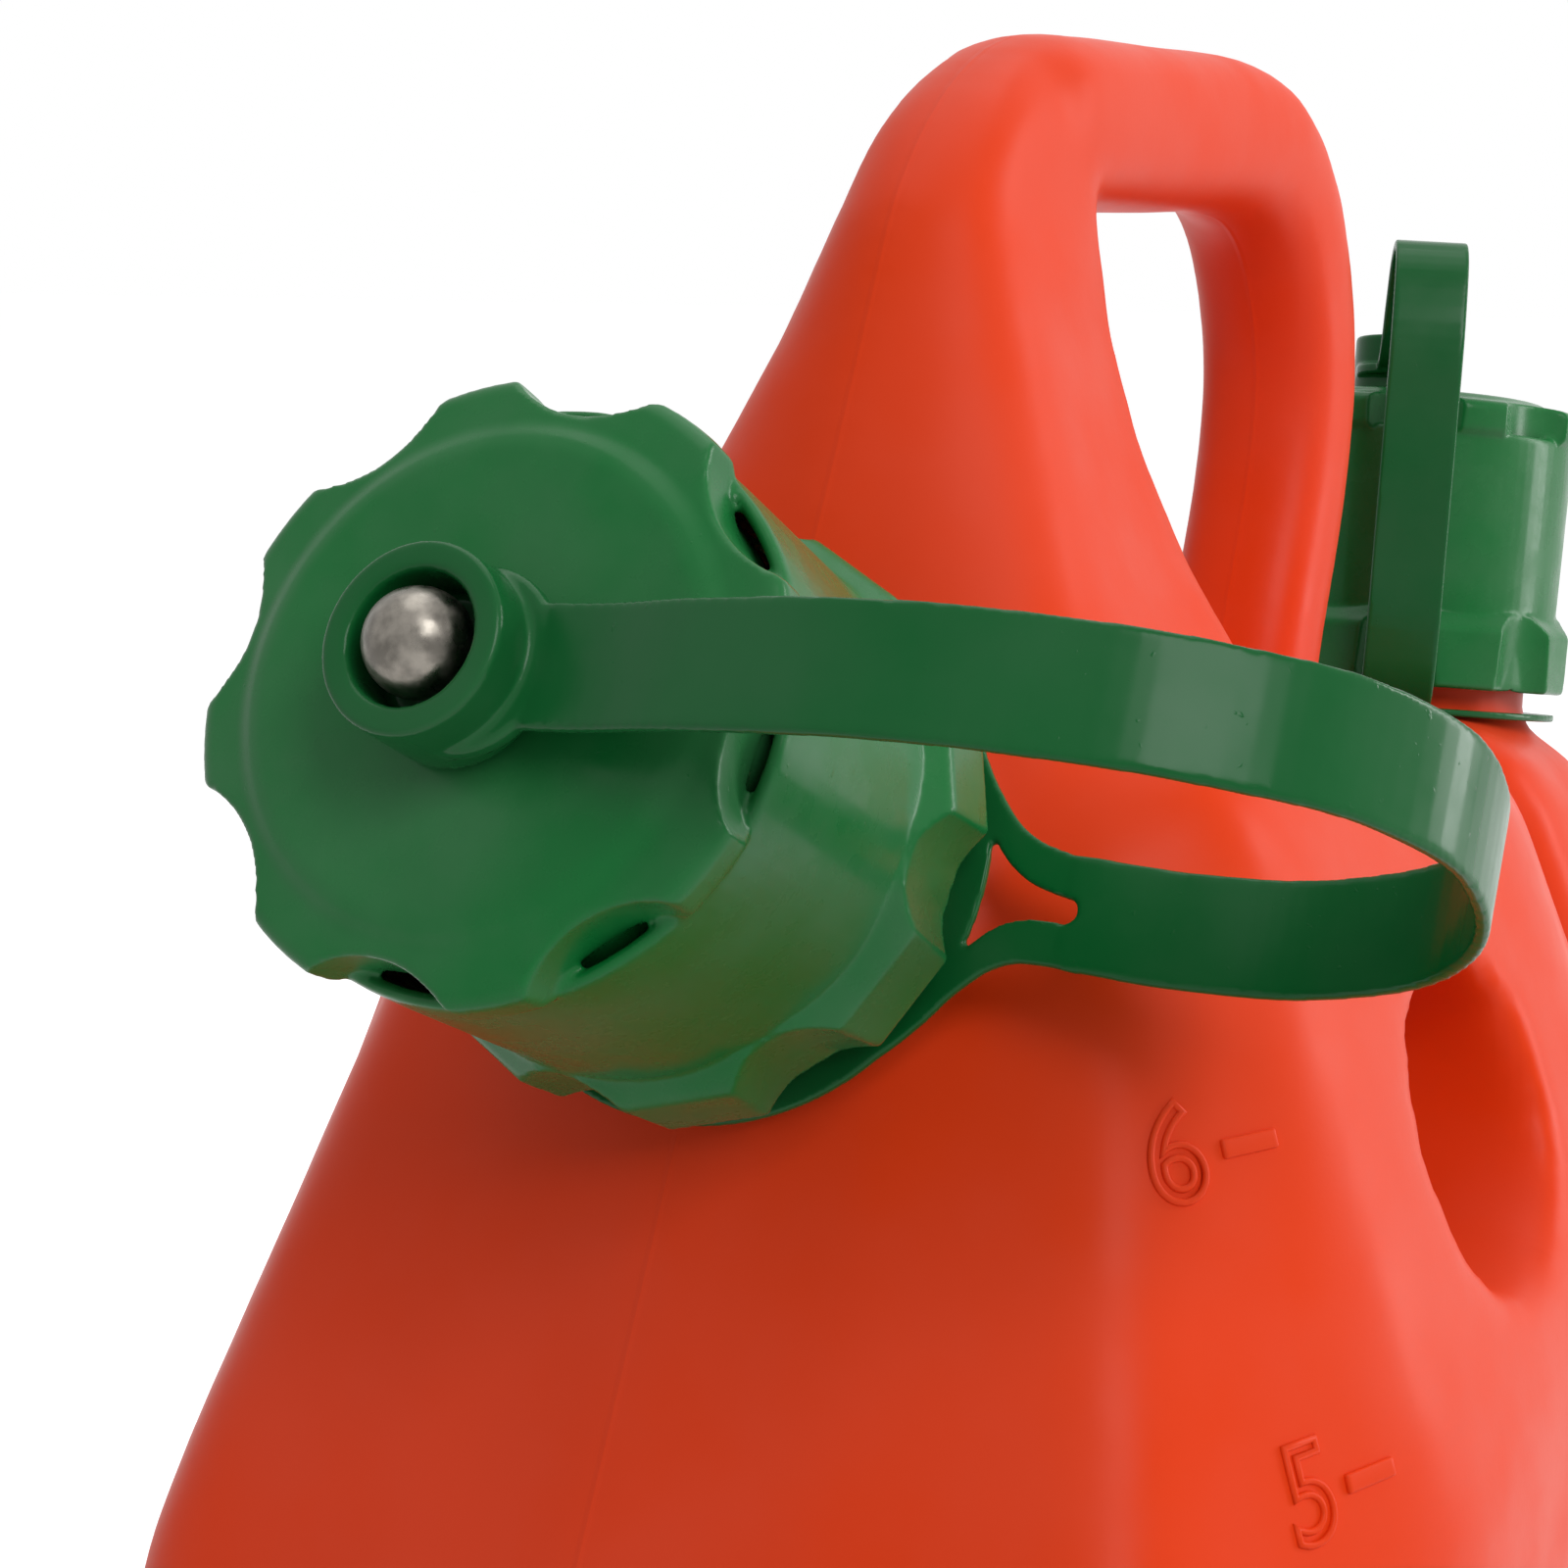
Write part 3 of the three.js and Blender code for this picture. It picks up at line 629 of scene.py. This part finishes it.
def collar(tail):
    """Ring round the neck; with a tail, its two arms run together into the band."""
    ring = turned("ring", [
        (27.2, COLLAR_BOTTOM), (32.5, COLLAR_BOTTOM), (32.5, COLLAR_TOP), (27.2, COLLAR_TOP),
        (27.2, COLLAR_BOTTOM),
    ])
    parts = [ring]
    if tail:
        for side in (-1, 1):
            points = [
                (x, side * y - ARM_LEAN * (x - ARM_LEAN_START), COLLAR_MIDDLE)
                for x, y in ARM_ROUTE
            ]
            parts.append(ribbon("arm", points, ARM_WIDTH * MM, ARM_THICKNESS * MM))
    return parts


def keeper_strap(name, route, tail, matrix):
    """Collar, band, and the pad with its tube, moulded in one."""
    look = settings()
    band = ribbon("band", route, look.band_width, look.band_thickness)
    modified(band, "BEVEL", width=0.3 * MM, segments=2, angle_limit=math.radians(60))
    if tail:
        bpy.ops.mesh.primitive_cylinder_add(
            vertices=48, radius=SLOT_RADIUS * MM, depth=8 * MM, location=Vector(route[0]) * MM
        )
        carved(band, bpy.context.object)
    hub = turned("hub", [
        (2.7, -0.2), (9.4, -0.2), (9.9, 0.4), (9.9, 10.5), (9.5, 10.9), (7.4, 10.9),
        (6.9, 10.5), (6.9, 3.4), (2.7, 3.4), (2.7, -0.2),
    ])
    foot = turned("foot", [(0, 3.3), (9.7, 3.3), (9.7, 5.0), (9.2, 5.4), (0, 5.6)])
    placed(foot, Matrix.Translation((FOOT_OFFSET * MM, 0, 0)))
    bpy.ops.mesh.primitive_cylinder_add(
        vertices=72, radius=FOOT_CUT_RADIUS * MM, depth=20 * MM
    )
    carved(foot, bpy.context.object)
    piece = joined(name, band, hub, foot, *collar(tail))
    moulded(piece, look.strap_grain, softness=5, keep=0.5)
    return placed(piece, matrix)


def ball_rivet(name, matrix):
    """Ball head, shank, and the spread tail under the cap's top."""
    profile = [(0, -8.1), (3.9, -8.1), (4.4, -7.6), (4.4, -6.3), (SHANK_RADIUS, -6.3)]
    start = math.asin(SHANK_RADIUS / BALL_RADIUS)
    for step in range(BALL_STEPS):
        angle = start + (math.pi - start) * step / BALL_STEPS
        height = BALL_MIDDLE - BALL_RADIUS * math.cos(angle)
        profile.append((BALL_RADIUS * math.sin(angle), height))
    profile.append((0, BALL_MIDDLE + BALL_RADIUS))
    piece = turned(name, profile, steps=64)
    only(piece)
    bpy.ops.object.shade_smooth_by_angle(angle=math.radians(40))
    return placed(piece, matrix)


def build_cap(prefix, matrix, lobe_start, route, tail):
    """Builds one neck's cap, rivet, strap and thread, and finishes its gasket."""
    look = settings()
    green = shared("cap_plastic", cap_plastic, look.cap_colour)
    deep_green = shared("strap_plastic", strap_plastic, look.strap_colour)
    orange = shared("blown_plastic", body_plastic, look.body_colour)
    steel = shared("dull_steel", dull_steel, look.steel_colour)
    rubber = shared("soft_rubber", soft_rubber)
    shell = finished(cap_shell(f"{prefix}_screw_cap", lobe_start, matrix), green)
    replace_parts(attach(shell, f"{prefix}_closure"), f"{prefix}_cap")
    rivet = finished(ball_rivet(f"{prefix}_ball_rivet", matrix), steel)
    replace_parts(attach(rivet, f"{prefix}_keeper"), f"{prefix}_cap_rivet")
    strap = keeper_strap(f"{prefix}_keeper_strap", route, tail, matrix)
    finished(strap, deep_green)
    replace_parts(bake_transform(strap), f"{prefix}_cap_strap")
    thread = finished(neck_thread(f"{prefix}_neck_thread", matrix), orange)
    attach(thread, "can")
    gasket = frame["nodes"][f"{prefix}_cap_gasket"]
    gasket.data.materials.clear()
    gasket.data.materials.append(rubber)


# Operators

class CAN_OT_body(bpy.types.Operator):
    """Build the blown body and its raised level marks"""

    bl_idname = "fuel_can.body"
    bl_label = "Build body"

    def execute(self, context):
        orange = shared("blown_plastic", body_plastic, settings().body_colour)
        skin = finished(can_skin(), orange)
        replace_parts(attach(skin, "can"), "tank_body")
        marks = finished(level_marks(), orange)
        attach(marks, "can")
        return {"FINISHED"}


class CAN_OT_fuel_cap(bpy.types.Operator):
    """Build the fuel cap with its strap and rivet"""

    bl_idname = "fuel_can.fuel_cap"
    bl_label = "Build fuel cap"

    def execute(self, context):
        build_cap("fuel", fuel_frame(), FUEL_LOBE_START, FUEL_BAND, tail=True)
        return {"FINISHED"}


class CAN_OT_oil_cap(bpy.types.Operator):
    """Build the oil cap with its strap and rivet"""

    bl_idname = "fuel_can.oil_cap"
    bl_label = "Build oil cap"

    def execute(self, context):
        build_cap("oil", oil_frame(), OIL_LOBE_START, OIL_BAND, tail=False)
        return {"FINISHED"}


class CAN_OT_stage(bpy.types.Operator):
    """Set the floor, lights and camera"""

    bl_idname = "fuel_can.stage"
    bl_label = "Set the stage"

    def execute(self, context):
        add_floor()
        add_world()
        add_panel("key_panel", place=(-0.75, -0.95, 1.05), size=(0.7, 0.7), power=10)
        add_panel("top_panel", place=(0.1, 0.1, 1.35), size=(1.0, 1.0), power=4.5)
        add_panel("side_panel", place=(0.75, -0.95, 0.45), size=(0.3, 0.8), power=6)
        add_camera()
        context.scene.view_settings.view_transform = "Standard"
        return {"FINISHED"}


class CAN_PT_sidebar(bpy.types.Panel):
    """Sizes, colours and a button for each step"""

    bl_label = "Fuel and oil can"
    bl_idname = "CAN_PT_sidebar"
    bl_space_type = "VIEW_3D"
    bl_region_type = "UI"
    bl_category = "Can"

    def draw(self, context):
        for name in CanSettings.__annotations__:
            self.layout.prop(context.scene.fuel_can, name)
        for operator in STEPS:
            self.layout.operator(operator.bl_idname)


# Stage

def add_floor():
    """A plain pale floor that the camera sees as white, with the can's shadow on it."""
    bpy.ops.mesh.primitive_plane_add(size=14, location=(0, 0, -0.2 * MM))
    floor = bpy.context.object
    floor.name = "floor"
    material = bpy.data.materials.new("pale_floor")
    material.use_nodes = True
    tree = material.node_tree
    plain = tree.nodes["Principled BSDF"]
    plain.inputs["Base Color"].default_value = (0.8, 0.8, 0.8, 1)
    plain.inputs["Roughness"].default_value = 0.9
    plain.inputs["Specular IOR Level"].default_value = 0.1
    shade = tree.nodes.new("ShaderNodeBsdfDiffuse")
    shade.inputs["Color"].default_value = (0.6, 0.6, 0.6, 1)
    glow = tree.nodes.new("ShaderNodeEmission")
    glow.inputs["Strength"].default_value = 0.8
    white = tree.nodes.new("ShaderNodeAddShader")
    tree.links.new(shade.outputs[0], white.inputs[0])
    tree.links.new(glow.outputs[0], white.inputs[1])
    surface = tree.nodes["Material Output"].inputs["Surface"]
    seen(tree, plain.outputs[0], white.outputs[0], surface)
    floor.data.materials.append(material)


def seen(tree, lighting, backdrop, surface):
    """Shows the backdrop to the camera and in reflections, and lights all else as before."""
    path = tree.nodes.new("ShaderNodeLightPath")
    either = tree.nodes.new("ShaderNodeMath")
    either.operation = "MAXIMUM"
    mix = tree.nodes.new("ShaderNodeMixShader")
    tree.links.new(path.outputs["Is Camera Ray"], either.inputs[0])
    tree.links.new(path.outputs["Is Glossy Ray"], either.inputs[1])
    tree.links.new(either.outputs[0], mix.inputs[0])
    tree.links.new(lighting, mix.inputs[1])
    tree.links.new(backdrop, mix.inputs[2])
    tree.links.new(mix.outputs[0], surface)


def add_world():
    """Soft light from all round, before a white backdrop."""
    world = bpy.data.worlds.new("studio")
    bpy.context.scene.world = world
    world.use_nodes = True
    nodes = world.node_tree.nodes
    light = nodes["Background"]
    light.inputs["Color"].default_value = (1, 1, 1, 1)
    light.inputs["Strength"].default_value = 0.34
    backdrop = nodes.new("ShaderNodeBackground")
    backdrop.inputs["Color"].default_value = (1, 1, 1, 1)
    surface = nodes["World Output"].inputs["Surface"]
    seen(world.node_tree, light.outputs[0], backdrop.outputs[0], surface)


def add_panel(name, place, size, power):
    """A soft light panel that faces the can."""
    bpy.ops.object.light_add(type="AREA", location=place)
    light = bpy.context.object
    light.name = name
    light.data.shape = "RECTANGLE"
    light.data.size, light.data.size_y = size
    light.data.energy = power
    aim = Vector(LIGHT_TARGET) * MM - Vector(place)
    light.rotation_euler = aim.to_track_quat("-Z", "Y").to_euler()


def add_camera():
    """The photo's close view on the fuel cap, with the can running off the picture."""
    bpy.ops.object.camera_add(location=Vector(CAMERA_PLACE) * MM)
    camera = bpy.context.object
    heading, down = math.radians(CAMERA_HEADING), math.radians(CAMERA_DOWN)
    ahead = Vector((
        math.cos(heading) * math.cos(down), math.sin(heading) * math.cos(down), -math.sin(down),
    ))
    camera.rotation_euler = ahead.to_track_quat("-Z", "Y").to_euler()
    camera.data.lens = CAMERA_LENS
    camera.data.clip_start = 0.01
    bpy.context.scene.camera = camera


STEPS = (CAN_OT_body, CAN_OT_fuel_cap, CAN_OT_oil_cap, CAN_OT_stage)
CLASSES = (CanSettings, *STEPS, CAN_PT_sidebar)


def register():
    for item in CLASSES:
        bpy.utils.register_class(item)
    bpy.types.Scene.fuel_can = PointerProperty(type=CanSettings)


def unregister():
    del bpy.types.Scene.fuel_can
    for item in reversed(CLASSES):
        bpy.utils.unregister_class(item)


def main():
    register()
    bpy.ops.fuel_can.body()
    bpy.ops.fuel_can.fuel_cap()
    bpy.ops.fuel_can.oil_cap()
    bpy.ops.fuel_can.stage()


if __name__ == "__main__":
    main()
